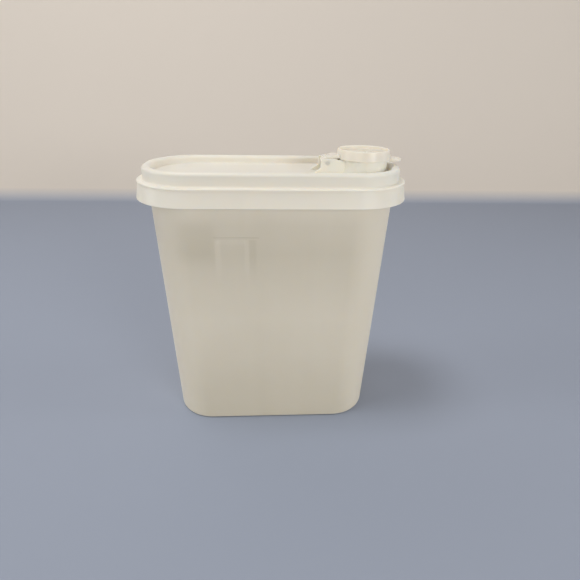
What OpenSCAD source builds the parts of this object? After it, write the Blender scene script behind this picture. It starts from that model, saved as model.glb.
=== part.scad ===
// Tall cereal keeper: a tapered container, a press-fit lid with a skirt,
// and a flip cap that closes the pouring neck.
// Millimetres. The base rests on Z = 0, and the pouring end points along +X.

/* [Container] */
// Length of the base
base_length = 178; // [160:1:186]
// Depth of the base from front to back
base_depth = 72.4; // [70:0.2:78]
// Corner radius of the base, seen from above
base_corner = 33.3; // [24:0.1:34.5]
// Length of the container at its rim
rim_length = 196.4; // [188:0.2:230]
// Depth of the container at its rim
rim_depth = 80.4; // [76:0.2:96]
// Corner radius of the rim, seen from above
rim_corner = 35.6; // [30:0.1:37.5]
// Height of the container without its lid
container_height = 226.5; // [190:0.5:300]
// Thickness of the container's wall
container_wall = 1.8; // [1.2:0.1:2.4]
// Thickness of the container's floor
floor_thickness = 2.4; // [1.6:0.1:4]
// Radius of the round edge where the wall meets the base
base_edge = 2.6; // [1:0.1:4]
// How far the snap lip stands out of the wall
lip_bead = 0.9; // [0.5:0.1:1.5]
// Height of the snap lip, measured down from the rim
lip_height = 4; // [3:0.1:6]

/* [Finger grips] */
// Width of the flat part of each finger grip
grip_width = 23; // [16:1:30]
// Width of the grip's slanted side
grip_flank = 8; // [4:1:12]
// Distance from the container's middle to the nearer end of the grip's flat part
grip_offset = 22; // [18:1:30]
// Height of the grips' top edge above the base
grip_top = 179; // [120:1:185]
// Depth of the grips at their top edge
grip_depth = 0.9; // [0.5:0.1:1.2]

/* [Lid] */
// Thickness of the lid's walls
lid_wall = 1.5; // [1.2:0.1:1.8]
// Gap on each side of the container's rim in the lid's groove
rim_gap = 0.55; // [0.4:0.05:0.8]
// Gap over the container's rim in the lid's groove
seat_gap = 0.3; // [0.2:0.05:0.6]
// Height of the raised rim above the shoulder
riser_height = 10.1; // [9:0.1:14]
// Radius of the raised rim's round top edges
rim_round = 2.4; // [1.9:0.1:3]
// Width of the shoulder between the raised rim and the skirt
shoulder_width = 3.9; // [3.4:0.1:8]
// Radius of the rolled bead round the shoulder's edge
bead_radius = 0.85; // [0.8:0.05:1.2]
// How far the bead stands out over the top of the skirt
bead_stand = 0.8; // [0.5:0.1:1.2]
// Height of the skirt below the shoulder
skirt_height = 14.3; // [9:0.1:20]
// How much the skirt flares outwards at its lower edge
skirt_flare = 2.3; // [0:0.1:3]
// Depth of the recessed panel below the raised rim's top
recess_depth = 6.3; // [4.5:0.1:8]
// Radius of the hollow corners of the lid
lid_fillet = 1.3; // [0.6:0.1:2]

/* [Pouring neck] */
// Distance from the outside of the raised rim to the middle of the neck
neck_inset = 28.4; // [27:0.1:45]
// Outer radius of the neck
neck_radius = 19.2; // [15:0.1:19.4]
// Thickness of the neck's wall
neck_wall = 1.8; // [1.4:0.1:2.4]
// Height of the neck's mouth above the raised rim's top
neck_rise = 7.5; // [6.5:0.1:12]
// How far the neck's snap bead stands out
neck_bead = 0.3; // [0.2:0.05:0.4]

/* [Flip cap] */
// Gap between the neck and the cap's skirt, measured at the plate
cap_gap = 0.55; // [0.5:0.05:1.2]
// Gap between the neck's mouth and the cap's plate
cap_seat = 0.3; // [0.2:0.05:0.6]
// Thickness of the cap's skirt
cap_wall = 1.3; // [1:0.1:1.8]
// Thickness of the cap's plate
cap_plate = 1.3; // [1:0.1:2]
// Depth of the dish in the cap's top
cap_dish = 3; // [2:0.1:5]
// Height of the cap's skirt below the plate
cap_skirt = 3.1; // [2.4:0.1:3.3]
// How much the cap's side widens from top to bottom
cap_flare = 0.95; // [0.5:0.05:1.5]
// Width of the round lip on the cap's top
cap_lip = 1.6; // [1.2:0.1:2.4]
// Gap between the neck's bore and the plug at the plate
plug_gap = 0.4; // [0.35:0.05:0.6]
// Further gap at the plug's tip, so that it swings clear of the bore
plug_taper = 0.5; // [0.45:0.05:0.8]
// Length of the plug below the plate
plug_length = 4.6; // [3.5:0.1:5.5]
// Thickness of the plug's wall
plug_wall = 1.3; // [1:0.1:2]
// How far the thumb tab reaches past the cap's skirt
tab_reach = 8.7; // [6:0.1:14]
// Width of the thumb tab
tab_width = 14; // [10:0.5:24]
// Thickness of the thumb tab
tab_thickness = 2; // [1.4:0.1:3]
// Corner radius of the thumb tab
tab_corner = 5; // [2:0.1:5]
// How far the thumb tab lies below the cap's skirt
tab_drop = 1.4; // [0.6:0.1:1.5]

/* [Hinge] */
// Distance from the middle of the neck to the hinge axis
hinge_reach = 29.8; // [28.5:0.1:34]
// Height of the hinge axis above the raised rim's top
hinge_rise = 2.3; // [1.5:0.1:2.6]
// Width of the cap's strap
strap_width = 16; // [10:0.5:20]
// Thickness of the strap
strap_thickness = 2.2; // [1.6:0.1:2.8]
// Height of the strap's underside above the lower edge of the cap's skirt
strap_rise = 0.6; // [0:0.1:1.2]
// Outer radius of the strap's knuckle
knuckle_radius = 4.2; // [3.6:0.1:4.6]
// Thickness of the knuckle's shell
knuckle_wall = 1.5; // [1.2:0.1:1.8]
// Radius of the two hinge pins
pin_radius = 1.4; // [1.1:0.05:1.5]
// Running clearance round each pin
pin_clearance = 0.06; // [0.03:0.01:0.1]
// Gap between the strap and each ear
ear_gap = 0.35; // [0.3:0.05:0.6]
// Thickness of each ear
ear_thickness = 2.2; // [1.6:0.1:3]
// Height of the ears above the hinge axis
ear_over = 2.1; // [1.9:0.05:2.1]
// Distance from the hinge axis to the ear's free end
ear_end = 5.2; // [4.4:0.1:7]
// Reach of the sloping foot beyond the ear's free end
ear_foot = 7; // [3:0.1:10]
// Height of the sloping foot on the ear's free end
ear_foot_height = 4.5; // [2:0.1:6]

/* [Hidden] */
body_colour = [0.80, 0.79, 0.75];
lid_colour = [0.90, 0.88, 0.83];
cap_colour = [0.92, 0.90, 0.84];
// Thin slices carry a hull, and overlaps join pieces that only touch
slice = 0.02;
overlap = 0.5;
outline_facets = 96;
round_facets = 96;
// The lid's groove and the container's rim share one rounded rectangle: these are its corner centres
path_x = rim_length / 2 - rim_corner;
path_y = rim_depth / 2 - rim_corner;
// Radii of the lid's section, measured from those corner centres
groove_outer = rim_corner + lip_bead + rim_gap;
groove_inner = rim_corner - container_wall - rim_gap;
riser_radius = groove_outer + lid_wall;
rim_inner = groove_inner - lid_wall;
skirt_radius = riser_radius + shoulder_width;
// Heights of the lid
groove_roof = container_height + seat_gap;
rim_top = groove_roof + lid_wall;
shoulder_z = rim_top - riser_height;
panel_z = rim_top - recess_depth;
skirt_z = shoulder_z - skirt_height;
// Neck and cap
neck_x = path_x + riser_radius - neck_inset;
neck_bore = neck_radius - neck_wall;
neck_top = rim_top + neck_rise;
plate_z = neck_top + cap_seat;
dish_z = plate_z + cap_plate;
cap_top = dish_z + cap_dish;
cap_bottom = plate_z - cap_skirt;
cap_height = cap_top - cap_bottom;
cap_radius = neck_radius + cap_gap + cap_wall + cap_flare * (cap_top - plate_z) / cap_height - cap_flare;
cap_radius_bottom = cap_radius + cap_flare;
// Hinge
hinge_x = neck_x - hinge_reach;
hinge_z = rim_top + hinge_rise;
strap_top = cap_bottom + strap_rise + strap_thickness;

// A flat rounded rectangle from its whole length and depth
module rounded_rectangle(length, depth, corner) {
  square([length - 2 * corner, depth], center = true);
  square([length, depth - 2 * corner], center = true);
  for (x = [-1, 1], y = [-1, 1])
    translate([x * (length / 2 - corner), y * (depth / 2 - corner)])
      circle(corner, $fn = outline_facets);
}

// A slab of that outline, moved in by inset on every side
module slab(length, depth, corner, inset, z, height) {
  translate([0, 0, z])
    linear_extrude(height)
      rounded_rectangle(length - 2 * inset, depth - 2 * inset, corner - inset);
}

module base_slab(inset, z) {
  slab(base_length, base_depth, base_corner, inset, z, slice);
}

module rim_slab(inset, z, height) {
  slab(rim_length, rim_depth, rim_corner, inset, z, height);
}

// The tapered outside, with its round lower edge
module container_outside() {
  hull() {
    for (angle = [0, 30, 60, 90])
      base_slab(base_edge * (1 - sin(angle)), base_edge * (1 - cos(angle)));
    rim_slab(0, container_height - slice, slice);
  }
}

// The hollow inside, one wall in from the outside and open at its mouth
module container_inside() {
  hull() {
    for (angle = [0, 45, 90])
      base_slab(
        container_wall + base_edge * (1 - sin(angle)),
        floor_thickness + base_edge * (1 - cos(angle))
      );
    rim_slab(container_wall, container_height - slice, slice);
  }
  rim_slab(container_wall, container_height - 2 * slice, 1);
}

// Half the container's depth at a height
function wall_depth(z) = (base_depth + (rim_depth - base_depth) * z / container_height) / 2;

// A block whose upright face sinks into the tapered wall up to grip_top.
// Grown by a wall's thickness it is the pad inside the wall.
module grip_block(grow) {
  face = wall_depth(grip_top) - grip_depth - grow;
  outer = wall_depth(grip_top) - grow;
  far = rim_depth;
  near_end = -grip_offset + grow;
  far_end = -grip_offset - grip_width - grow;
  linear_extrude(grip_top + grow)
    polygon([
      [far_end, face],
      [near_end, face],
      [near_end + grip_flank, outer],
      [near_end + grip_flank, far],
      [far_end, far],
    ]);
}

module finger_grips(grow) {
  grip_block(grow);
  mirror([0, 1, 0])
    grip_block(grow);
}

// Sweeps a section round the path of the rim: its x runs outwards and its y runs up
module around_the_rim() {
  for (corner = [[1, 1, 0], [-1, 1, 90], [-1, -1, 180], [1, -1, 270]])
    translate([corner.x * path_x, corner.y * path_y, 0])
      rotate([0, 0, corner.z])
        rotate_extrude(angle = 90, $fn = round_facets)
          children();
  for (turn = [0, 180])
    rotate([0, 0, turn]) {
      translate([-path_x, path_y, 0])
        rotate([90, 0, 90])
          linear_extrude(2 * path_x)
            children();
      translate([path_x, path_y, 0])
        rotate([90, 0, 0])
          linear_extrude(2 * path_y)
            children();
    }
}

// The snap lip is a ring that the lid's groove fits over
module snap_lip_section() {
  ramp = 1.2;
  sunk = 0.3;
  root = rim_corner - container_wall / 2;
  lip = rim_corner + lip_bead;
  foot = container_height - lip_height;
  polygon([
    [root, foot - ramp],
    [rim_corner - sunk, foot - ramp],
    [lip, foot],
    [lip, container_height - ramp],
    [lip - lip_bead / 2, container_height],
    [root, container_height],
  ]);
}

module container_body() {
  color(body_colour)
    difference() {
      union() {
        container_outside();
        around_the_rim()
          snap_lip_section();
      }
      finger_grips(0);
      difference() {
        container_inside();
        finger_grips(container_wall);
      }
    }
}

// A bar with two round upper corners, its lower left corner at the origin
module round_topped_bar(width, height, corner) {
  square([width, height - corner]);
  translate([corner, 0])
    square([width - 2 * corner, height]);
  for (x = [corner, width - corner])
    translate([x, height - corner])
      circle(corner, $fn = round_facets);
}

// Fills a hollow corner between a wall on the left and a floor below
module hollow_corner(radius) {
  difference() {
    translate([-overlap, -overlap])
      square(radius + overlap);
    translate([radius, radius])
      circle(radius, $fn = round_facets);
  }
}

// The skirt hangs from the shoulder and flares outwards
module skirt_section() {
  top = shoulder_z - lid_wall / 2;
  polygon([
    [skirt_radius - lid_wall, top],
    [skirt_radius, top],
    [skirt_radius + skirt_flare, skirt_z],
    [skirt_radius + skirt_flare - lid_wall, skirt_z],
  ]);
}

module lid_section() {
  difference() {
    union() {
      translate([rim_inner, panel_z - lid_wall])
        round_topped_bar(riser_radius - rim_inner, recess_depth + lid_wall, rim_round);
      translate([groove_outer, shoulder_z - lid_wall])
        square([lid_wall, riser_height - rim_round]);
    }
    translate([groove_inner, panel_z - 2 * lid_wall])
      round_topped_bar(
        groove_outer - groove_inner,
        groove_roof - panel_z + 2 * lid_wall,
        rim_round - lid_wall
      );
  }
  translate([groove_outer, shoulder_z - lid_wall])
    square([skirt_radius - groove_outer, lid_wall]);
  translate([riser_radius, shoulder_z])
    hollow_corner(lid_fillet);
  translate([rim_inner, panel_z])
    mirror([1, 0])
      hollow_corner(lid_fillet);
  translate([skirt_radius + bead_stand - bead_radius, shoulder_z - bead_radius])
    circle(bead_radius, $fn = round_facets);
  skirt_section();
}

module recessed_panel() {
  reach = groove_inner - lid_wall / 2;
  translate([0, 0, panel_z - lid_wall])
    linear_extrude(lid_wall)
      rounded_rectangle(2 * (path_x + reach), 2 * (path_y + reach), reach);
}

module neck_section() {
  bead = 0.8;
  lip = 0.6;
  translate([neck_bore, panel_z - lid_wall])
    round_topped_bar(neck_wall, neck_top - panel_z + lid_wall, lip);
  translate([neck_radius + neck_bead - bead, neck_top - lip - bead])
    circle(bead, $fn = round_facets);
  translate([neck_radius, panel_z])
    hollow_corner(lid_fillet);
}

// One ear, standing on the panel beside the strap, from its sloping foot to the neck
module ear_outline() {
  top = hinge_z + ear_over;
  left = hinge_x - ear_end;
  right = neck_x - neck_bore / 2;
  corner = 1.2;
  sunk = panel_z - overlap;
  polygon([
    [left - ear_foot, sunk],
    [left - ear_foot, panel_z],
    [left, panel_z + ear_foot_height],
    [left, top - corner],
    [left + corner, top - corner],
    [left + corner, top],
    [right, top],
    [right, sunk],
  ]);
  translate([left + corner, top - corner])
    circle(corner, $fn = round_facets);
}

module ears() {
  for (side = [0, 1])
    mirror([0, side, 0])
      translate([0, strap_width / 2 + ear_gap + ear_thickness, 0])
        rotate([90, 0, 0])
          linear_extrude(ear_thickness)
            ear_outline();
}

module lid() {
  color(lid_colour)
    difference() {
      union() {
        around_the_rim()
          lid_section();
        recessed_panel();
        translate([neck_x, 0, 0])
          rotate_extrude($fn = round_facets)
            neck_section();
        ears();
      }
      translate([neck_x, 0, panel_z - 2 * lid_wall])
        cylinder(h = 2 * cap_height + recess_depth + neck_rise, r = neck_bore, $fn = round_facets);
      translate([hinge_x, strap_width, hinge_z])
        rotate([90, 0, 0])
          cylinder(h = 2 * strap_width, r = pin_radius + pin_clearance, $fn = round_facets);
    }
}

// Half of the cap's round section: lip, dish, skirt and plug
module cap_section() {
  lip = cap_lip / 2;
  lip_z = cap_top - lip;
  taper_length = 2;
  skirt_inside = cap_radius_bottom - cap_wall;
  plug_radius = neck_bore - plug_gap;
  polygon([
    [skirt_inside, cap_bottom],
    [cap_radius_bottom, cap_bottom],
    [cap_radius, lip_z],
    [cap_radius - cap_lip, lip_z],
    [cap_radius - cap_lip, plate_z + cap_plate / 2],
    [skirt_inside - cap_flare * (plate_z + cap_plate / 2 - cap_bottom) / cap_height, plate_z],
  ]);
  translate([cap_radius - lip, lip_z])
    circle(lip, $fn = round_facets);
  translate([0, plate_z])
    square([cap_radius - cap_lip / 2, cap_plate]);
  translate([cap_radius - cap_lip, dish_z])
    mirror([1, 0])
      hollow_corner(lid_fillet);
  polygon([
    [plug_radius - plug_wall, plate_z + cap_plate / 2],
    [plug_radius, plate_z + cap_plate / 2],
    [plug_radius, plate_z],
    [plug_radius - plug_taper, plate_z - taper_length],
    [plug_radius - plug_taper, plate_z - plug_length],
    [plug_radius - plug_wall - plug_taper, plate_z - plug_length],
    [plug_radius - plug_wall - plug_taper, plate_z - taper_length],
  ]);
}

module thumb_tab() {
  tip = cap_radius_bottom + tab_reach;
  root = cap_radius_bottom - cap_wall;
  translate([neck_x, 0, cap_bottom - tab_drop])
    difference() {
      linear_extrude(tab_thickness) {
        translate([0, -tab_width / 2])
          square([tip - tab_corner, tab_width]);
        translate([0, tab_corner - tab_width / 2])
          square([tip, tab_width - 2 * tab_corner]);
        for (side = [-1, 1])
          translate([tip - tab_corner, side * (tab_width / 2 - tab_corner)])
            circle(tab_corner, $fn = round_facets);
      }
      translate([0, 0, -overlap])
        cylinder(h = tab_thickness + 2 * overlap, r = root, $fn = round_facets);
    }
}

// The strap arches from the cap down to a hollow knuckle, open below, whose cheeks carry the pins
module strap_outline() {
  reach = neck_x - cap_radius_bottom + cap_wall;
  circle_top = hinge_z + knuckle_radius;
  translate([hinge_x, hinge_z])
    circle(knuckle_radius, $fn = round_facets);
  polygon([
    [hinge_x, circle_top],
    [hinge_x, circle_top - strap_thickness],
    [hinge_x + knuckle_radius, strap_top - strap_thickness],
    [reach, strap_top - strap_thickness],
    [reach, strap_top],
    [hinge_x + knuckle_radius, strap_top],
  ]);
}

module knuckle_hollow() {
  inside = knuckle_radius - knuckle_wall;
  translate([hinge_x, hinge_z])
    circle(inside, $fn = round_facets);
  translate([hinge_x - inside, hinge_z - 2 * knuckle_radius])
    square([2 * inside, 2 * knuckle_radius]);
}

module across(width) {
  translate([0, width / 2, 0])
    rotate([90, 0, 0])
      linear_extrude(width)
        children();
}

module strap() {
  difference() {
    across(strap_width)
      strap_outline();
    across(strap_width - 2 * knuckle_wall)
      knuckle_hollow();
  }
  for (side = [0, 1])
    mirror([0, side, 0])
      translate([hinge_x, strap_width / 2 - knuckle_wall, hinge_z])
        rotate([-90, 0, 0])
          cylinder(h = knuckle_wall + ear_gap + ear_thickness, r = pin_radius, $fn = round_facets);
}

module flip_cap() {
  color(cap_colour) {
    translate([neck_x, 0, 0])
      rotate_extrude($fn = round_facets)
        cap_section();
    thumb_tab();
    strap();
  }
}

container_body();
lid();
flip_cap();
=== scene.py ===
# %% [markdown]
# # A cereal keeper with a flip cap, dressed for its portrait
#
# The real object is three mouldings in a milky, slightly translucent plastic: a tall tapered
# container, a press-fit lid with a skirt, and a round cap that flips open over a pouring neck.
# The imported CAD frame already holds all three in their true places. This lesson models each
# one again with smooth, finely rounded surfaces, gives each a procedural plastic, and lights them.
#
# The first cell loads the frame.

# %% Load the frame
import math

import bmesh
import bpy
from mathutils import Matrix, Vector


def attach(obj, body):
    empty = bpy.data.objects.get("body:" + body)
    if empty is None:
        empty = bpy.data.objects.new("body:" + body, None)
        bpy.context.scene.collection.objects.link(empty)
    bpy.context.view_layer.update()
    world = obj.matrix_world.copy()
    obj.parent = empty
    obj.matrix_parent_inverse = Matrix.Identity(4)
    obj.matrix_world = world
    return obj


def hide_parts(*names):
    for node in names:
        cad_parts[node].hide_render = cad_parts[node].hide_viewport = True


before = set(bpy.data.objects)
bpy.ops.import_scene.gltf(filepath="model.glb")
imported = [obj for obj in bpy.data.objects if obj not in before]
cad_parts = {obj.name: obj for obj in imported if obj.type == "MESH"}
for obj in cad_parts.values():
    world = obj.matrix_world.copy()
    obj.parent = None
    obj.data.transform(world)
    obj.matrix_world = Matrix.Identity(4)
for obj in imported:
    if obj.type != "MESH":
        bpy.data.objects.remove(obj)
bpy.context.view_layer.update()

MM = 0.001

# %% [markdown]
# ## The camera
#
# The photograph looks down on the broad side from a little above the lid, from close by, so the
# taper looks stronger than it is. A camera could be aimed with a Track To constraint, but a plain
# matrix is exact and leaves nothing to update: its three columns are the directions of the
# picture's right side, its top side, and backwards.

# %% Make the camera
EYE = Vector((-5.43, -357.99, 288.35)) * MM
TURN, TILT, ROLL = math.radians(-3.44), math.radians(25.69), math.radians(1.13)
SENSOR = 36.0
FOCAL_PIXELS = 436.0
FRAME_PIXELS = 580.0
NEAREST, FARTHEST = 0.01, 20.0

forward = Vector((
    -math.sin(TURN) * math.cos(TILT), math.cos(TURN) * math.cos(TILT), -math.sin(TILT),
))
level = Vector((math.cos(TURN), math.sin(TURN), 0.0))
upright = level.cross(forward)
picture_right = level * math.cos(ROLL) + upright * math.sin(ROLL)
picture_up = upright * math.cos(ROLL) - level * math.sin(ROLL)

lens = bpy.data.cameras.new("portrait_lens")
lens.sensor_width = SENSOR
lens.lens = SENSOR * FOCAL_PIXELS / FRAME_PIXELS
lens.clip_start, lens.clip_end = NEAREST, FARTHEST
camera = bpy.data.objects.new("portrait_camera", lens)
aimed = Matrix((picture_right, picture_up, -forward)).transposed().to_4x4()
camera.matrix_world = Matrix.Translation(EYE) @ aimed
bpy.context.collection.objects.link(camera)
bpy.context.scene.camera = camera
print("camera focal length in mm:", round(lens.lens, 2))

# %% [markdown]
# ## Helpers for moulded shapes
#
# A moulding is mostly two things: an outline that stays the same while something is swept round
# it, and corners with small radii. So two helpers do most of the work. One draws a section with
# a radius on each corner, by bevelling the corner vertices of a flat face. The other turns a
# finished bmesh into an object with smooth shading that stays crisp at real creases.

# %% Draw a section and finish a shape
CREASE = math.radians(38)
FEWEST_STEPS, STEPS_PER_MM = 2, 2.2
MERGE_WITHIN, COLLAPSE_WITHIN = 0.002 * MM, 0.001 * MM
FLAT = 0.99


def section(bm, corners, ends=None):
    """A flat outline in the XZ plane from (x, z, radius) corners in millimetres.

    ends="open" removes the face and the edge from the last corner to the first.
    """
    points = [Vector((x * MM, 0.0, z * MM)) for x, z, radius in corners]
    verts = [bm.verts.new(p) for p in points]
    bm.faces.new(verts)
    for i, (x, z, radius) in enumerate(corners):
        if radius:
            here, before, after = points[i], points[i - 1], points[(i + 1) % len(points)]
            angle = (before - here).angle(after - here)
            bmesh.ops.bevel(
                bm, geom=[verts[i]], offset=radius * MM / math.tan(angle / 2),
                offset_type="OFFSET", segments=round(FEWEST_STEPS + STEPS_PER_MM * radius),
                profile=0.5, affect="VERTICES", clamp_overlap=False, material=-1,
            )
    if ends == "open":
        bmesh.ops.delete(bm, geom=bm.faces[:], context="FACES_ONLY")
        bm.edges.remove(bm.edges.get((verts[-1], verts[0])))


def tidy(bm):
    """Merges doubles and turns every face outwards."""
    bmesh.ops.remove_doubles(bm, verts=bm.verts[:], dist=MERGE_WITHIN)
    bmesh.ops.dissolve_degenerate(bm, edges=bm.edges[:], dist=COLLAPSE_WITHIN)
    bmesh.ops.recalc_face_normals(bm, faces=bm.faces[:])


def make_object(bm, name):
    """A linked object from a bmesh, with its place in its mesh."""
    tidy(bm)
    mesh = bpy.data.meshes.new(name)
    bm.to_mesh(mesh)
    bm.free()
    piece = bpy.data.objects.new(name, mesh)
    bpy.context.collection.objects.link(piece)
    return piece


def shade(piece):
    """Smooth shading between real creases, with flat faces kept flat."""
    bm = bmesh.new()
    bm.from_mesh(piece.data)
    tidy(bm)
    many_sided = [f for f in bm.faces if len(f.verts) > 4]
    bmesh.ops.triangulate(bm, faces=many_sided, quad_method="BEAUTY", ngon_method="BEAUTY")
    odd_edges = sum(not e.is_manifold for e in bm.edges)
    volume = round(bm.calc_volume() / MM**3)
    bm.to_mesh(piece.data)
    bm.free()
    piece.data.shade_smooth()
    piece.data.set_sharp_from_angle(angle=CREASE)
    weights = piece.modifiers.new("flat_faces_lead", "WEIGHTED_NORMAL")
    weights.keep_sharp = True
    faces = len(piece.data.polygons)
    print(piece.name, "faces:", faces, "edges not shared by two:", odd_edges, "mm3:", volume)


# %% [markdown]
# ## The container
#
# The container is a tapered shell with round ends, open at the top. It could be a box with
# subdivision, but then its corner radii would only be guessed. Here it is a stack of rounded
# rectangles: each is a grid of one face whose four corners are bevelled, laid at its own height
# and bridged to the one below. The stack climbs the outside, turns over the snap lip at the
# mouth, and goes down again inside, so the wall has its true thickness for light to pass. All
# sizes are in millimetres, and BASE and RIM each hold a length, a depth and a corner radius.

# %% Stack the container's rings
BASE = (178.0, 72.4, 33.3)
RIM = (196.4, 80.4, 35.6)
HEIGHT = 226.5
WALL = 1.8
FLOOR = 2.4
BASE_EDGE = 2.6
CORNER_STEPS = 24
EDGE_ANGLES = range(0, 91, 15)
WALL_STATIONS = (30.0, 75.0, 120.0, 165.0, 200.0)
LIP_FOOT = 221.3
LIP_RINGS = [
    (222.3, -0.72), (222.7, -0.9), (225.3, -0.9), (226.0, -0.72), (226.4, -0.4), (226.5, 0.1),
    (226.48, WALL - 0.35), (226.35, WALL - 0.05), (226.0, WALL),
]


def outline(share, inset):
    """Length, depth and corner between the base (0) and the rim (1), moved in by inset."""
    length, depth, corner = (b + (r - b) * share for b, r in zip(BASE, RIM))
    return length - 2 * inset, depth - 2 * inset, corner - inset


def ring(bm, size, z):
    """A rounded rectangle of edges at height z; returns its edges."""
    length, depth, corner = size
    known = {e for e in bm.edges if e.is_wire}
    square = bmesh.ops.create_grid(bm, x_segments=1, y_segments=1, size=0.5)["verts"]
    bmesh.ops.scale(bm, vec=(length * MM, depth * MM, 1.0), verts=square)
    bmesh.ops.translate(bm, vec=(0.0, 0.0, z * MM), verts=square)
    bmesh.ops.bevel(
        bm, geom=square, offset=corner * MM, offset_type="OFFSET", segments=CORNER_STEPS,
        profile=0.5, affect="VERTICES", clamp_overlap=False, material=-1,
    )
    alone = [f for f in bm.faces if all(len(e.link_faces) == 1 for e in f.edges)]
    bmesh.ops.delete(bm, geom=alone, context="FACES_ONLY")
    return [e for e in bm.edges if e.is_wire and e not in known]


def round_foot(inset, floor):
    """The rings of a round lower edge from its floor up, as (size, height)."""
    rings = []
    for angle in EDGE_ANGLES:
        a = math.radians(angle)
        size = outline(0, inset + BASE_EDGE * (1 - math.sin(a)))
        rings.append((size, floor + BASE_EDGE * (1 - math.cos(a))))
    return rings


def leaning_wall(heights, foot, inset):
    """The rings of a wall that leans out evenly from its foot to the rim."""
    return [(outline((z - foot) / (HEIGHT - foot), inset), z) for z in heights]


shell_rings = [
    *round_foot(0.0, 0.0),
    *leaning_wall((*WALL_STATIONS, LIP_FOOT), BASE_EDGE, 0.0),
    *((outline(1, inset), z) for z, inset in LIP_RINGS),
    *leaning_wall(reversed(WALL_STATIONS), FLOOR + BASE_EDGE, WALL),
    *reversed(round_foot(WALL, FLOOR)),
]
shell = bmesh.new()
lower = None
for size, z in shell_rings:
    upper = ring(shell, size, z)
    if lower:
        bmesh.ops.bridge_loops(shell, edges=lower + upper)
    lower = upper
bmesh.ops.holes_fill(shell, edges=shell.edges[:], sides=0)
tidy(shell)
print("container rings:", len(shell_rings), "faces:", len(shell.faces))

# %% [markdown]
# ## The finger grips
#
# Each broad face has a shallow recess for a finger. Its face is upright while the wall leans, so
# it is deepest under its top edge and fades out downwards, and both its sides are slanted. It
# could be cut with a Boolean, but the step is so slight that it is simpler to cut the wall along
# the recess's borders with bisect_plane and then push the vertices in between back to the
# upright face. The same is done to the inside of the wall, one thickness further in. The foot's
# round edge is left out of both, because it would be caught by the same test as the walls.

# %% Press the finger grips
GRIP_LEFT, GRIP_RIGHT, GRIP_FLANK_END = -45.0, -22.0, -14.0
GRIP_TOP, GRIP_DEPTH = 179.0, 0.9
GRIP_SIDE = 4.2
GRIP_EDGE = 0.6
WALLS_FROM, PRESSED_FROM = 10.0, 20.0
BROAD_SIDE = 0.95
CUT_WITHIN = 1e-6


def half_depth(z):
    """Half the outside depth of the wall at a height."""
    return (BASE[1] + (RIM[1] - BASE[1]) * (z - BASE_EDGE) / (HEIGHT - BASE_EDGE)) / 2


GRIP_FACE = half_depth(GRIP_TOP) - GRIP_DEPTH
GRIP_FOOT = GRIP_TOP - GRIP_DEPTH / (half_depth(1) - half_depth(0))


def cut_walls(bm, point, normal):
    """Cuts only the flat walls, in front and at the back, along a plane."""
    walls = [
        f for f in bm.faces
        if abs(f.normal.y) > BROAD_SIDE and f.calc_center_median().z > WALLS_FROM * MM
    ]
    edges = {e for f in walls for e in f.edges}
    verts = {v for f in walls for v in f.verts}
    bmesh.ops.bisect_plane(
        bm, geom=walls + list(edges) + list(verts), dist=CUT_WITHIN,
        plane_co=Vector(point) * MM, plane_no=Vector(normal).normalized(),
    )


def press_grip(bm, grow, outer):
    """Presses the grip into the outer skin, or one wall further in into the inner skin."""
    left, right = GRIP_LEFT - grow, GRIP_RIGHT + grow
    end, top = GRIP_FLANK_END + grow, GRIP_TOP + grow
    for x in (left, left + GRIP_SIDE, right, end):
        cut_walls(bm, (x, 0, 0), (1, 0, 0))
    for z in (GRIP_FOOT, top - GRIP_EDGE, top + GRIP_EDGE):
        cut_walls(bm, (0, 0, z), (0, 0, 1))
    cut_walls(bm, (end, 0, top), (top - GRIP_FOOT, 0, right - end))
    for v in bm.verts:
        x, y, z = v.co / MM
        middle = half_depth(z) - WALL / 2
        pressed = PRESSED_FROM <= z <= top - GRIP_EDGE / 2 and left < x < end
        if (abs(y) > middle) != outer or not pressed:
            continue
        limit = GRIP_FACE - grow + GRIP_DEPTH * max(0.0, (x - right) / (end - right))
        sunk = min(abs(y), limit)
        share = min(1.0, (x - left) / GRIP_SIDE)
        v.co.y = math.copysign(abs(y) + (sunk - abs(y)) * share, y) * MM


press_grip(shell, 0.0, outer=True)
press_grip(shell, WALL, outer=False)
print("grip face in mm: from z", round(GRIP_FOOT, 1), "to", GRIP_TOP, "- deepest", GRIP_DEPTH)

# %% [markdown]
# ## The container's foot
#
# Run a finger under such a container and you feel that its base isn't quite flat: the middle is
# usually drawn up a little, so that it stands on a ring and doesn't rock. The photograph doesn't
# show the base, so the half millimetre here is a guess. Two insets of the base's single face
# make it: the first leaves the flat ring, the second goes inwards and up.

# %% Draw up the base
FOOT_RING, FOOT_SLOPE, FOOT_STEP = 7.0, 0.8, 0.5

shell.normal_update()
bottom = max((f for f in shell.faces if f.normal.z < -FLAT), key=lambda f: f.calc_area())
for thickness, depth in ((FOOT_RING, 0.0), (FOOT_SLOPE, -FOOT_STEP)):
    bmesh.ops.inset_region(
        shell, faces=[bottom], thickness=thickness * MM, depth=depth * MM, use_even_offset=True,
    )
container = make_object(shell, "container_shell")
print("foot ring in mm:", FOOT_RING, "step:", FOOT_STEP)

# %% [markdown]
# ## The lid's rim and skirt
#
# Cut the real lid across its edge and you see one ribbon of plastic folded again and again: the
# recessed panel turns up into a raised rim whose hollow presses over the container's lip, comes
# down to a shoulder, rolls over in a bead and drops as a flared skirt. Lofting each face by hand
# would take hours. Instead the ribbon's section is drawn once and swept round the rim: spin turns
# it through each of the four corners, and an edge extrusion carries it along each straight. The
# section's corners are a distance from the corner's axis, a height and a radius.

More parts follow.
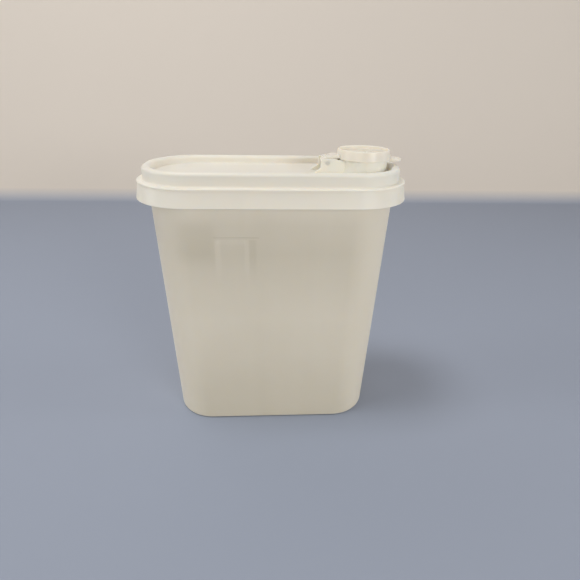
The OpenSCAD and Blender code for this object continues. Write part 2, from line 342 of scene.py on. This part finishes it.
# %% Sweep the rim
PATH_X, PATH_Y = RIM[0] / 2 - RIM[2], RIM[1] / 2 - RIM[2]
LID_WALL = 1.5
GROOVE_OUTER, GROOVE_INNER = 37.05, 33.25
RISER, RIM_INNER = 38.55, 31.75
RIM_TOP, GROOVE_ROOF = 228.3, 226.8
SHOULDER_Z, PANEL_Z, SKIRT_Z = 218.2, 222.0, 203.9
BEAD_OUT, BEAD_TALL = 43.25, 1.7
SKIRT_TOP, SKIRT_BOTTOM = 42.45, 44.75
PANEL_EDGE = 28.0

LID_SECTION = [
    (PANEL_EDGE, PANEL_Z, 0),
    (RIM_INNER, PANEL_Z, 1.3),
    (RIM_INNER, RIM_TOP, 2.4),
    (RISER, RIM_TOP, 2.4),
    (RISER, SHOULDER_Z, 1.3),
    (BEAD_OUT, SHOULDER_Z, 0.8),
    (BEAD_OUT, SHOULDER_Z - BEAD_TALL, 0.8),
    (SKIRT_TOP + 0.15, SHOULDER_Z - BEAD_TALL, 0.2),
    (SKIRT_BOTTOM, SKIRT_Z, 0.5),
    (SKIRT_BOTTOM - LID_WALL, SKIRT_Z, 0.5),
    (SKIRT_TOP - LID_WALL, SHOULDER_Z - LID_WALL, 0.9),
    (GROOVE_OUTER, SHOULDER_Z - LID_WALL, 0.6),
    (GROOVE_OUTER, GROOVE_ROOF, 0.9),
    (GROOVE_INNER, GROOVE_ROOF, 0.9),
    (GROOVE_INNER, PANEL_Z - LID_WALL, 0.5),
    (PANEL_EDGE, PANEL_Z - LID_WALL, 0),
]


def sweep_round_rim(bm):
    """Carries the wire section, drawn at the first corner, once round the rim."""
    bmesh.ops.translate(bm, vec=Vector((PATH_X, PATH_Y, 0)) * MM, verts=bm.verts[:])
    ribbon = bm.verts[:] + bm.edges[:]
    legs = [
        ((PATH_X, PATH_Y), (-2 * PATH_X, 0)),
        ((-PATH_X, PATH_Y), (0, -2 * PATH_Y)),
        ((-PATH_X, -PATH_Y), (2 * PATH_X, 0)),
        ((PATH_X, -PATH_Y), (0, 2 * PATH_Y)),
    ]
    for centre, straight in legs:
        turned = bmesh.ops.spin(
            bm, geom=ribbon, cent=Vector((*centre, 0)) * MM, axis=(0, 0, 1), dvec=(0, 0, 0),
            angle=math.pi / 2, steps=CORNER_STEPS, use_duplicate=False,
        )["geom_last"]
        edges = [g for g in turned if isinstance(g, bmesh.types.BMEdge)]
        carried = bmesh.ops.extrude_edge_only(bm, edges=edges)["geom"]
        verts = {g for g in carried if isinstance(g, bmesh.types.BMVert)}
        bmesh.ops.translate(bm, vec=Vector((*straight, 0)) * MM, verts=list(verts))
        edges = [g for g in carried if isinstance(g, bmesh.types.BMEdge) and set(g.verts) <= verts]
        ribbon = list(verts) + edges


ribbon_mesh = bmesh.new()
section(ribbon_mesh, LID_SECTION, ends="open")
sweep_round_rim(ribbon_mesh)
tidy(ribbon_mesh)
bmesh.ops.holes_fill(ribbon_mesh, edges=ribbon_mesh.edges[:], sides=0)
lid = make_object(ribbon_mesh, "lid_shell")
print("lid section corners:", len(LID_SECTION), "faces:", len(lid.data.polygons))

# %% [markdown]
# ## Joining and cutting solids
#
# The neck and the hinge ears grow out of the lid, and the bore runs through it. A Boolean
# modifier joins or cuts closed shapes exactly. It is applied at once, because the tool object
# must not stay in the scene: the evaluated mesh simply takes the place of the old one.

# %% A joining and cutting helper
def combine(piece, tool, operation):
    """Joins a closed tool to a piece (UNION) or cuts it away (DIFFERENCE)."""
    boolean = piece.modifiers.new("combine", "BOOLEAN")
    boolean.operation, boolean.object, boolean.solver = operation, tool, "EXACT"
    evaluated = piece.evaluated_get(bpy.context.evaluated_depsgraph_get())
    mesh = bpy.data.meshes.new_from_object(evaluated)
    piece.modifiers.remove(boolean)
    old, piece.data = piece.data, mesh
    bpy.data.meshes.remove(old)
    bpy.data.objects.remove(tool)
    mesh.name = piece.name


def rod(radius, start, end, steps=64):
    """A closed cylinder between two points in millimetres."""
    bm = bmesh.new()
    start, end = Vector(start) * MM, Vector(end) * MM
    turn = (end - start).to_track_quat("Z", "Y")
    bmesh.ops.create_cone(
        bm, cap_ends=True, segments=steps, radius1=radius * MM, radius2=radius * MM,
        depth=(end - start).length,
        matrix=Matrix.Translation((start + end) / 2) @ turn.to_matrix().to_4x4(),
    )
    return make_object(bm, "rod")


def spun(corners, centre_x, steps=96, ends=None):
    """A section turned once round an upright axis."""
    bm = bmesh.new()
    section(bm, corners, ends)
    bmesh.ops.translate(bm, vec=(centre_x * MM, 0, 0), verts=bm.verts[:])
    bmesh.ops.delete(bm, geom=bm.faces[:], context="FACES_ONLY")
    bmesh.ops.spin(
        bm, geom=bm.verts[:] + bm.edges[:], cent=(centre_x * MM, 0, 0), axis=(0, 0, 1),
        dvec=(0, 0, 0), angle=2 * math.pi, steps=steps, use_merge=True, use_duplicate=False,
    )
    return make_object(bm, "turned")


def slab_across(corners, y_from, y_to, edge=0.25):
    """A section made thick along Y, with its side edges rounded."""
    bm = bmesh.new()
    section(bm, corners)
    thick = bmesh.ops.extrude_face_region(bm, geom=bm.faces[:])["geom"]
    moved = [g for g in thick if isinstance(g, bmesh.types.BMVert)]
    bmesh.ops.translate(bm, vec=(0, (y_to - y_from) * MM, 0), verts=moved)
    bmesh.ops.translate(bm, vec=(0, y_from * MM, 0), verts=bm.verts[:])
    tidy(bm)
    if edge:
        sides = [f for f in bm.faces if abs(f.normal.y) > FLAT]
        rims = list({e for f in sides for e in f.edges})
        bmesh.ops.bevel(
            bm, geom=rims, offset=edge * MM, offset_type="OFFSET", segments=2, profile=0.5,
            affect="EDGES", clamp_overlap=True, material=-1,
        )
    return make_object(bm, "slab")


print("helpers ready: combine, rod, spun, slab_across")

# %% [markdown]
# ## The pouring neck and the hinge ears
#
# The neck is a short tube with a round mouth and a faint bead that the cap snaps over. Two ears
# stand between it and the middle of the panel, each with a sloping foot, a round shoulder, a
# crest over its hinge end and a hole for a hinge pin. The ears are slabs. They are joined first,
# then a core as wide as the middle of the neck's wall is cut away from them and the panel, and
# last the neck, a spun section, is joined over the cut's edge. So no two surfaces coincide.

# %% Add the neck and the ears
NECK_X, NECK_R, NECK_BORE, NECK_TOP = 72.75, 19.2, 17.4, 235.8
HINGE_X, HINGE_Z, PIN_R = 42.95, 230.6, 1.4
STRAP_HALF = 8.0
EAR_IN, EAR_OUT = 8.35, 10.55
EAR_LEFT, EAR_TOP = 37.75, 232.7
EAR_CREST, EAR_STEP = 233.5, 50.2
EAR_ROOT, EAR_SLOPE, EAR_END = 221.3, 7.0, NECK_X - 12.0
PIN_PLAY, HOLE_REACH = 0.06, 14.0

for side in (-1, 1):
    near, far = sorted((side * EAR_IN, side * EAR_OUT))
    combine(lid, slab_across([
        (EAR_LEFT - EAR_SLOPE - 0.2, EAR_ROOT, 0),
        (EAR_LEFT - EAR_SLOPE, PANEL_Z, 0),
        (EAR_LEFT, PANEL_Z + 4.5, 1.0),
        (EAR_LEFT, EAR_CREST, 1.2),
        (EAR_STEP, EAR_CREST, 0.5),
        (EAR_STEP + 1.0, EAR_TOP, 0.3),
        (EAR_END, EAR_TOP, 0),
        (EAR_END, EAR_ROOT, 0),
    ], near, far, edge=0.3), "UNION")
pin_hole = rod(PIN_R + PIN_PLAY, (HINGE_X, -HOLE_REACH, HINGE_Z), (HINGE_X, HOLE_REACH, HINGE_Z))
combine(lid, pin_hole, "DIFFERENCE")
middle_of_wall = (NECK_R + NECK_BORE) / 2
core = rod(middle_of_wall, (NECK_X, 0, PANEL_Z - 5), (NECK_X, 0, NECK_TOP), steps=80)
combine(lid, core, "DIFFERENCE")
combine(lid, spun([
    (NECK_BORE, PANEL_Z - LID_WALL - 0.2, 0.3),
    (NECK_R + 0.5, PANEL_Z - LID_WALL - 0.2, 0.3),
    (NECK_R + 0.5, PANEL_Z - 0.6, 0),
    (NECK_R + 1.35, PANEL_Z - 0.3, 0),
    (NECK_R + 1.3, PANEL_Z + 0.02, 0),
    (NECK_R, PANEL_Z + 0.02, 1.25),
    (NECK_R, NECK_TOP - 2.3, 0.4),
    (NECK_R + 0.3, NECK_TOP - 1.6, 0.3),
    (NECK_R + 0.25, NECK_TOP - 0.9, 0.3),
    (NECK_R - 0.1, NECK_TOP, 0.5),
    (NECK_BORE, NECK_TOP, 0.6),
], NECK_X), "UNION")
print("neck bore in mm:", 2 * NECK_BORE, "hinge axis at x", HINGE_X, "z", HINGE_Z)

# %% [markdown]
# ## The flip cap
#
# The cap is a shallow dish with a round lip. Its side flares a little down to the skirt's edge,
# and under its plate hangs a short plug that fills the neck. All of that is one section turned
# round the neck's axis. The thumb tab, the strap and the two pins are joined to it, and the
# strap's knuckle is hollowed from below, as a mould would do it to keep the walls even.

# %% Build the cap
PLATE_Z, DISH_Z, CAP_TOP, CAP_BOTTOM = 236.1, 237.4, 240.4, 233.0
CAP_R, CAP_R_BOTTOM, CAP_WALL, CAP_LIP = 20.65, 21.6, 1.3, 1.6
PLUG_R, PLUG_TAPER, PLUG_LENGTH = 17.0, 0.5, 4.6
TAB_Z, TAB_THICK, TAB_HALF, TAB_TIP = 231.6, 2.0, 7.0, 8.7
TAB_ROOT, TAB_CORNER, TAB_EDGE = 4.0, 5.0, 0.55
STRAP_TOP, STRAP_THICK, KNUCKLE, KNUCKLE_WALL = 235.8, 2.2, 4.2, 1.5

cap = spun([
    (0, DISH_Z, 0),
    (CAP_R - CAP_LIP, DISH_Z, 1.3),
    (CAP_R - CAP_LIP + 0.1, CAP_TOP, 0.74),
    (CAP_R - 0.05, CAP_TOP, 0.74),
    (CAP_R_BOTTOM, CAP_BOTTOM, 0.35),
    (CAP_R_BOTTOM - CAP_WALL, CAP_BOTTOM, 0.35),
    (CAP_R - CAP_WALL + 0.55, PLATE_Z, 0.4),
    (PLUG_R, PLATE_Z, 0.3),
    (PLUG_R - PLUG_TAPER, PLATE_Z - 2.0, 0.5),
    (PLUG_R - PLUG_TAPER, PLATE_Z - PLUG_LENGTH, 0.5),
    (PLUG_R - PLUG_TAPER - CAP_WALL, PLATE_Z - PLUG_LENGTH, 0.5),
    (PLUG_R - CAP_WALL, PLATE_Z, 0.6),
    (0, PLATE_Z, 0),
], NECK_X, ends="open")
cap.name = "flip_cap_shell"


def thumb_tab():
    """A tongue with two round corners, hollowed where the cap's skirt begins."""
    bm = bmesh.new()
    grid = bmesh.ops.create_grid(bm, x_segments=1, y_segments=1, size=0.5)["verts"]
    inner, outer = CAP_R_BOTTOM - CAP_WALL - TAB_ROOT, CAP_R_BOTTOM + TAB_TIP
    bmesh.ops.scale(bm, vec=((outer - inner) * MM, 2 * TAB_HALF * MM, 1), verts=grid)
    bmesh.ops.translate(bm, vec=((NECK_X + (inner + outer) / 2) * MM, 0, TAB_Z * MM), verts=grid)
    tip = [v for v in grid if v.co.x > (NECK_X + CAP_R_BOTTOM) * MM]
    bmesh.ops.bevel(
        bm, geom=tip, offset=TAB_CORNER * MM, offset_type="OFFSET", segments=10, profile=0.5,
        affect="VERTICES", clamp_overlap=False, material=-1,
    )
    up = bmesh.ops.extrude_face_region(bm, geom=bm.faces[:])["geom"]
    raised = [g for g in up if isinstance(g, bmesh.types.BMVert)]
    bmesh.ops.translate(bm, vec=(0, 0, TAB_THICK * MM), verts=raised)
    tidy(bm)
    flat = [f for f in bm.faces if abs(f.normal.z) > FLAT]
    bmesh.ops.bevel(
        bm, geom=list({e for f in flat for e in f.edges}), offset=TAB_EDGE * MM,
        offset_type="OFFSET", segments=3, profile=0.5, affect="EDGES", clamp_overlap=True,
        material=-1,
    )
    return make_object(bm, "tab")


tab = thumb_tab()
inside = rod(
    CAP_R_BOTTOM - CAP_WALL + 0.05, (NECK_X, 0, TAB_Z - 5), (NECK_X, 0, TAB_Z + 5), steps=96,
)
combine(tab, inside, "DIFFERENCE")
combine(cap, tab, "UNION")

strap_reach = NECK_X - CAP_R_BOTTOM + CAP_WALL
strap = slab_across([
    (HINGE_X - KNUCKLE, HINGE_Z - KNUCKLE, KNUCKLE - 0.01),
    (HINGE_X - KNUCKLE, HINGE_Z + KNUCKLE, KNUCKLE - 0.01),
    (HINGE_X + 1.6, HINGE_Z + KNUCKLE + 0.1, 6.0),
    (HINGE_X + 4.4, STRAP_TOP, 6.0),
    (strap_reach, STRAP_TOP, 0),
    (strap_reach, STRAP_TOP - STRAP_THICK, 0),
    (HINGE_X + KNUCKLE + 1.0, STRAP_TOP - STRAP_THICK, 1.0),
    (HINGE_X + KNUCKLE, HINGE_Z, 2.0),
    (HINGE_X + KNUCKLE, HINGE_Z - KNUCKLE, KNUCKLE - 0.01),
], -STRAP_HALF, STRAP_HALF, edge=0.3)
hollow_half = STRAP_HALF - KNUCKLE_WALL
hollow = KNUCKLE - KNUCKLE_WALL
combine(strap, slab_across([
    (HINGE_X - hollow, HINGE_Z - 2 * KNUCKLE, 0),
    (HINGE_X - hollow, HINGE_Z + hollow, hollow - 0.01),
    (HINGE_X + hollow, HINGE_Z + hollow, hollow - 0.01),
    (HINGE_X + hollow, HINGE_Z - 2 * KNUCKLE, 0),
], -hollow_half, hollow_half, edge=0), "DIFFERENCE")
for side in (-1, 1):
    root, tip = (HINGE_X, side * (STRAP_HALF - 1), HINGE_Z), (HINGE_X, side * EAR_OUT, HINGE_Z)
    combine(strap, rod(PIN_R, root, tip, steps=48), "UNION")
combine(cap, strap, "UNION")
print("cap faces:", len(cap.data.polygons))

# %% Shade the three pieces
for piece in (container, lid, cap):
    shade(piece)

# %% [markdown]
# ## Writing shader maths as expressions
#
# A procedural material is a small calculation that runs at every point of a surface. In the node
# editor each plus sign is a box and two wires. Here one class wraps a socket and gives it Python's
# own operators, so that an expression such as 0.3 + 0.1 * clouds adds the Math nodes by itself.

# %% The material helpers
class Signal:
    """A number or colour that a material works out at each point."""

    def __init__(self, finish, socket):
        self.finish, self.socket = finish, socket

    def maths(self, operation, a, b):
        return self.finish.node("ShaderNodeMath", {"operation": operation}, {0: a, 1: b})

    def __add__(self, other):
        return self.maths("ADD", self, other)

    def __sub__(self, other):
        return self.maths("SUBTRACT", self, other)

    def __rsub__(self, other):
        return self.maths("SUBTRACT", other, self)

    def __mul__(self, other):
        return self.maths("MULTIPLY", self, other)

    __radd__, __rmul__ = __add__, __mul__


class Finish:
    """A material with one Principled shader and a method that adds any other node."""

    def __init__(self, name):
        self.material = bpy.data.materials.new(name)
        self.material.use_nodes = True
        self.tree = self.material.node_tree
        self.shader = self.tree.nodes["Principled BSDF"]
        place = self.tree.nodes.new("ShaderNodeTexCoord")
        self.place = Signal(self, place.outputs["Object"])

    def put(self, socket, value):
        """Links a signal to a socket, or sets a plain value on it."""
        if isinstance(value, Signal):
            self.tree.links.new(value.socket, socket)
        else:
            socket.default_value = value

    def node(self, kind, settings=None, values=None, output=0):
        """Adds a node: its settings first, then the values or links of its sockets."""
        made = self.tree.nodes.new(kind)
        for name, setting in (settings or {}).items():
            if name == "stops":
                stops = made.color_ramp.elements
                while len(stops) < len(setting):
                    stops.new(1.0)
                for stop, (position, level) in zip(stops, setting):
                    stop.position, stop.color = position, (level, level, level, 1.0)
            else:
                setattr(made, name, setting)
        for name, value in (values or {}).items():
            self.put(made.inputs[name], value)
        return Signal(self, made.outputs[output])

    def set(self, **values):
        """Sets the shader's own sockets, with _ for each space in a name."""
        for name, value in values.items():
            self.put(self.shader.inputs[name.replace("_", " ")], value)

    def noise(self, scale, detail=2.0, roughness=0.5, stretch=(1, 1, 1)):
        """Clouds between 0 and 1; scale is about how many there are in a metre."""
        where = self.node("ShaderNodeMapping", values={"Vector": self.place, "Scale": stretch})
        return self.node("ShaderNodeTexNoise", values={
            "Vector": where, "Scale": scale, "Detail": detail, "Roughness": roughness,
        })

    def blend(self, share, first, second):
        """A mix of two colours, where share is how much there is of the second."""
        first, second = (c if isinstance(c, Signal) else (*c, 1.0) for c in (first, second))
        values = {0: share, 6: first, 7: second}
        return self.node("ShaderNodeMix", {"data_type": "RGBA"}, values, output=2)

    def part(self, vector, index):
        """One part of a vector: 0 along X, 1 along Y, 2 up Z."""
        return self.node("ShaderNodeSeparateXYZ", values={0: vector}, output=index)

    def rise(self, value, start, end):
        """A smooth step from 0 at start to 1 at end, both in millimetres."""
        return self.node("ShaderNodeMapRange", {"interpolation_type": "SMOOTHSTEP"}, {
            "Value": value, "From Min": start * MM, "From Max": end * MM,
        })


print("material helpers ready")

# %% [markdown]
# ## The milky plastic
#
# All three mouldings are polyethylene or something close to it: a waxy, milky plastic that light
# enters, wanders through and leaves again. Glass-like transmission would be wrong, because
# nothing can be seen through it clearly. Subsurface scattering on a shell with its true wall
# thickness gives the soft look and lets thin edges glow. On top of that come the details of a
# moulding: faint clouds where the melt cooled unevenly, upright flow lines, a fine orange-peel
# skin, a sheen that is duller where hands and shelves have rubbed it, and a soft bloom at the
# edges, where the eye looks along the waxy skin.
#
# Each plastic is a mix of a deep and a light colour, and a small function gives the share of the
# light colour at each point: random mottle, plus painted light and shade. The lid has painted
# light round its neck and ears, which lifts the shade there, and the cap has painted shade in its
# thin plate. Both follow the distance from the neck's axis, which is worked out from the Object
# coordinates.

# %% Make the lid's and the cap's plastics
SCATTER = 1.5
CLOUD_SCALE, FLOW_SCALE, SKIN_SCALE, RUB_SCALE = 14.0, 60.0, 900.0, 45.0
FLOW_STRETCH = (1.0, 1.0, 0.06)
# Shares of the light colour: painted light round the lid's neck, painted shade in the cap's plate.
NECK_PAINTED_LIGHT_ENDS, NECK_PAINTED_LIGHT_FULL = 46.0, 30.0
LID_CLOUDS, NECK_PAINTED_LIGHT = 0.47, 0.42
CAP_MILK, CAP_CLOUDS, PLATE_PAINTED_SHADE = 0.85, 0.3, 0.8


def from_neck(finish):
    """The distance of each point from the neck's upright axis."""
    flat = finish.node("ShaderNodeMapping", values={
        "Vector": finish.place, "Location": (-NECK_X * MM, 0.0, 0.0), "Scale": (1.0, 1.0, 0.0),
    })
    return finish.node("ShaderNodeVectorMath", {"operation": "LENGTH"}, {0: flat}, output="Value")


def mottle_and_neck_painted_light(finish, mottle):
    """Painted light round the neck and the ears lifts their shade, as in the photograph."""
    # near is the mask of the painted light: 1 close to the neck, fading to 0 further out.
    near = finish.rise(from_neck(finish), NECK_PAINTED_LIGHT_ENDS, NECK_PAINTED_LIGHT_FULL)
    return LID_CLOUDS * mottle + NECK_PAINTED_LIGHT * near


def mottle_and_plate_painted_shade(finish, mottle):
    """The cap is milky all over, with painted shade in the thin plate inside its lip."""
    # plate is the mask of the painted shade: the thin plate over the dark neck is made deeper.
    plate = finish.rise(from_neck(finish), CAP_R - CAP_LIP, CAP_R - 2 * CAP_LIP)
    return CAP_MILK + CAP_CLOUDS * (mottle - 0.5) - PLATE_PAINTED_SHADE * plate


def milky_plastic(name, deep, light, roughness, mottle_and_painted_light):
    """A waxy plastic between two close colours, in which light wanders SCATTER millimetres."""
    finish = Finish(name)
    clouds = finish.noise(CLOUD_SCALE, detail=3.0)
    flow = finish.noise(FLOW_SCALE, stretch=FLOW_STRETCH)
    skin = finish.noise(SKIN_SCALE, detail=1.0)
    rub = finish.noise(RUB_SCALE, detail=5.0, roughness=0.65)
    mottle = clouds * 0.7 + flow * 0.3
    # The share of the light colour holds random mottle and painted light and shade.
    finish.set(
        Base_Color=finish.blend(mottle_and_painted_light(finish, mottle), deep, light),
        Roughness=roughness + 0.1 * (rub - 0.5),
        Subsurface_Weight=1.0,
        Subsurface_Radius=(1.0, 0.92, 0.78),
        Subsurface_Scale=SCATTER * MM,
        Sheen_Weight=0.1,
        Sheen_Roughness=0.35,
        IOR=1.5,
        Specular_IOR_Level=0.5,
    )
    wave = finish.node("ShaderNodeBump", values={
        "Strength": 0.35, "Distance": 0.0009, "Height": clouds * 0.8 + rub * 0.06,
    })
    bump = finish.node("ShaderNodeBump", values={
        "Strength": 0.12, "Distance": 0.00006, "Height": skin, "Normal": wave,
    })
    finish.set(Normal=bump)
    return finish.material


lid_plastic = milky_plastic(
    "lid_milky_plastic", (0.90, 0.84, 0.74), (0.985, 0.94, 0.855), roughness=0.37,
    mottle_and_painted_light=mottle_and_neck_painted_light,
)
cap_plastic = milky_plastic(
    "cap_milky_plastic", (0.80, 0.745, 0.645), (0.91, 0.86, 0.765), roughness=0.28,
    mottle_and_painted_light=mottle_and_plate_painted_shade,
)
print("plastics:", lid_plastic.name, cap_plastic.name)

# %% [markdown]
# ## The container's painted light and shade
#
# In the photograph the container's wall doesn't look equally light everywhere. Under the lid's
# skirt and round the ends it is lighter, and below the lid and towards the foot it is deeper. Here
# that is painted light and shade in the wall's colour: painted light under the skirt, which fills
# the skirt's shadow, and at the round ends, where side light falls; painted shade below the lid,
# which shades the inside, and towards the foot. The shares are tuned by comparing tones. A light
# and a deep colour are mixed by height: a colour ramp holds the share at a few heights, and a
# smooth step on the distance from the middle takes most of it away at the round ends.
#
# The finger grip's slanted sides and its top edge look lighter or deeper than the wall too, and
# the wall left of the grip deeper. The step is so shallow that shading alone hardly shows it, so
# each row paints a soft patch into the colour, painted light where its change is positive and
# painted shade where it is negative, tuned in the same way: how much it changes the share, then
# where it starts and ends along X, and then up Z, each with the width over which it fades in and
# out, in millimetres.

# %% Make the container's plastic
PAINTED_LIGHT_AND_SHADE_BY_HEIGHT = [
    (0.00, 0.00), (0.05, 0.03), (0.15, 0.14), (0.31, 0.48), (0.47, 0.70),
    (0.63, 0.44), (0.73, 0.26), (0.83, 0.50), (0.89, 0.96), (1.00, 1.00),
]
END_PAINTED_LIGHT_SHARE, END_EVENS_OUT = 0.56, 0.8
END_BEGINS, END_FULL = 58.0, 82.0
CONTAINER_CLOUDS = 0.6
GRIP_PAINTED_LIGHT_AND_SHADE = [
    (-0.24, (-66.0, -50.0, 16.0, 9.0), (168.0, 184.0, 16.0, 12.0)),
    (0.18, (-44.5, -41.5, 0.8, 2.0), (166.0, 176.5, 28.0, 1.0)),
    (0.16, (-21.5, -19.5, 1.2, 1.0), (166.0, 176.5, 30.0, 1.0)),
    (-0.24, (-17.5, -14.5, 1.5, 3.0), (166.0, 176.5, 30.0, 1.5)),
    (0.12, (-43.0, -22.0, 1.0, 1.0), (175.0, 177.0, 3.0, 0.8)),
    (-0.90, (-45.0, -13.0, 1.0, 3.0), (179.0, 179.4, 0.5, 0.5)),
]


def between(finish, value, start, end, fade_in, fade_out):
    """1 from start to end, fading to 0 before and after it; all in millimetres."""
    return finish.rise(value, start - fade_in, start) * finish.rise(value, end + fade_out, end)


def mottle_and_painted_light_by_place(finish, mottle):
    """The container's share of its light colour: painted light and shade, and random mottle."""
    across, height = finish.part(finish.place, 0), finish.part(finish.place, 2)
    # grip sums the patches of painted light and painted shade at the finger grip.
    grip = sum(
        change * between(finish, across, *sideways) * between(finish, height, *upwards)
        for change, sideways, upwards in GRIP_PAINTED_LIGHT_AND_SHADE
    )
    stops = {"stops": PAINTED_LIGHT_AND_SHADE_BY_HEIGHT}
    # The ramp paints shade towards the foot and below the lid, and light under the skirt.
    upright = finish.node("ShaderNodeValToRGB", stops, {"Fac": height * (1 / (HEIGHT * MM))})
    distance = finish.node("ShaderNodeMath", {"operation": "ABSOLUTE"}, {0: across})
    # Painted light at the round ends, which evens the ramp out there.
    end_painted_light = END_EVENS_OUT * finish.rise(distance, END_BEGINS, END_FULL)
    painted_light_and_shade = upright * (1 - end_painted_light) + END_PAINTED_LIGHT_SHARE * end_painted_light + grip
    return painted_light_and_shade + CONTAINER_CLOUDS * (mottle - 0.5)


container_plastic = milky_plastic(
    "container_milky_plastic", (0.70, 0.645, 0.525), (0.875, 0.815, 0.70), roughness=0.4,
    mottle_and_painted_light=mottle_and_painted_light_by_place,
)
print("plastics:", container_plastic.name)

# %% [markdown]
# ## Each piece on its body
#
# A piece rides on a CAD body, so that the cap turns about its hinge and the lid lifts off. It
# replaces the CAD node of the same moulding, which stays behind for the collision model.

# %% Ride, replace and dress
for piece, body, node, slot, plastic in (
    (container, "container", "container_body", "container_plastic", container_plastic),
    (lid, "lid", "lid", "lid_plastic", lid_plastic),
    (cap, "cap", "flip_cap", "cap_plastic", cap_plastic),
):
    piece.data.materials.clear()
    piece.data.materials.append(plastic)
    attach(piece, body)
    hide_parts(node)
    print(piece.name, "rides on", body)

# %% [markdown]
# ## The studio
#
# The keeper stands on a plain pale table in front of a plain pale wall. The floor is one sheet
# whose far edge is bent up into the wall by a spin, so there is no hard corner behind the object.
# Light comes from all round, and low in front, so that the skirt casts no dark line on the
# container, as it hardly does when light passes through real milky plastic. The ceiling lamp hangs
# a little to the left, so a soft shadow falls to the right. Light Path tells a camera ray from
# the others: the table looks a shade deeper, and the air lighter, than the light they give back.

# %% Make the floor and the lamps
FLOOR_HALF, WALL_AT, COVE, WALL_TALL = 2.4, 0.76, 0.03, 2.4
AIR_LIGHT, AIR_SEEN = 0.3, 0.72
TABLE_BOUNCE, TABLE_SEEN = (0.60, 0.62, 0.66), (0.37, 0.41, 0.50)
WALL_PAINT = (0.84, 0.76, 0.67)
TABLE_BELOW = 0.1


def studio():
    """The table and the wall as one sheet, just below the container's foot."""
    bm = bmesh.new()
    left = bm.verts.new((-FLOOR_HALF, -FLOOR_HALF, 0))
    right = bm.verts.new((FLOOR_HALF, -FLOOR_HALF, 0))
    edge = bm.edges.new((left, right))

    def carry(edges, way):
        """Draws edges out into a face; returns the new vertices and edges."""
        out = bmesh.ops.extrude_edge_only(bm, edges=edges)["geom"]
        verts = {g for g in out if isinstance(g, bmesh.types.BMVert)}
        bmesh.ops.translate(bm, vec=way, verts=list(verts))
        edges = [g for g in out if isinstance(g, bmesh.types.BMEdge) and set(g.verts) <= verts]
        return list(verts), edges

    verts, edges = carry([edge], (0, FLOOR_HALF + WALL_AT, 0))
    bent = bmesh.ops.spin(
        bm, geom=verts + edges, cent=(0, WALL_AT, COVE), axis=(1, 0, 0), dvec=(0, 0, 0),
        angle=math.pi / 2, steps=12, use_duplicate=False,
    )["geom_last"]
    carry([g for g in bent if isinstance(g, bmesh.types.BMEdge)], (0, 0, WALL_TALL))
    bmesh.ops.translate(bm, vec=(0, 0, -TABLE_BELOW * MM), verts=bm.verts[:])
    mesh = bpy.data.meshes.new("studio_floor")
    bm.to_mesh(mesh)
    bm.free()
    mesh.shade_smooth()
    floor = bpy.data.objects.new("studio_floor", mesh)
    bpy.context.collection.objects.link(floor)
    return floor


studio_floor = studio()
studio_paint = Finish("studio_paint")
height = studio_paint.part(studio_paint.place, 2)
up_the_wall = studio_paint.node("ShaderNodeMapRange", values={"Value": height, "From Max": COVE})
seen = studio_paint.node("ShaderNodeLightPath", output="Is Camera Ray")
table_paint = studio_paint.blend(seen, TABLE_BOUNCE, TABLE_SEEN)
studio_paint.set(
    Base_Color=studio_paint.blend(up_the_wall, table_paint, WALL_PAINT),
    Roughness=0.9, Specular_IOR_Level=0.1,
)
studio_floor.data.materials.append(studio_paint.material)


def lamp(name, place, target, width, tall, watts):
    """A soft white panel of light, with its place, aim and size in metres."""
    data = bpy.data.lights.new(name, "AREA")
    data.shape, data.size, data.size_y = "RECTANGLE", width, tall
    data.energy = watts
    made = bpy.data.objects.new(name, data)
    aim = Vector(target) - Vector(place)
    turn = aim.to_track_quat("-Z", "Y").to_matrix().to_4x4()
    made.matrix_world = Matrix.Translation(place) @ turn
    bpy.context.collection.objects.link(made)


lamp("front_lamp_left", (-0.7, -1.4, 0.55), (0, 0, 0.12), 0.8, 0.4, 1.8)
lamp("front_lamp_right", (0.9, -1.4, 0.55), (0, 0, 0.12), 0.8, 0.4, 7.5)
lamp("ceiling_lamp", (-0.38, -0.12, 1.5), (0, 0, 0.1), 0.4, 0.4, 6.3)
lamp("left_lamp", (-1.5, -0.15, 0.62), (0, 0, 0.15), 0.35, 1.1, 4.2)
lamp("right_lamp", (1.5, -0.15, 0.62), (0, 0, 0.15), 0.35, 1.1, 2.6)
lamp("back_lamp", (-0.5, 0.6, 1.2), (0, 0, 0.1), 0.8, 0.4, 0.9)


class Air(Finish):
    """The world's own nodes, added by the same method as a material's."""

    def __init__(self, name):  # a world has a Background shader and no Object coordinates
        self.world = bpy.data.worlds.new(name)
        self.world.use_nodes = True
        self.tree = self.world.node_tree
        self.shader = self.tree.nodes["Background"]


air = Air("studio_air")
looked_at = air.node("ShaderNodeLightPath", output="Is Camera Ray")
air.set(Color=(1.0, 0.985, 0.97, 1.0), Strength=AIR_LIGHT + (AIR_SEEN - AIR_LIGHT) * looked_at)
bpy.context.scene.world = air.world

# %% [markdown]
# ## The view transform
#
# The view transform is set to Standard, so that a colour renders about as it is written.

# %% Set the view transform
bpy.context.scene.view_settings.view_transform = "Standard"
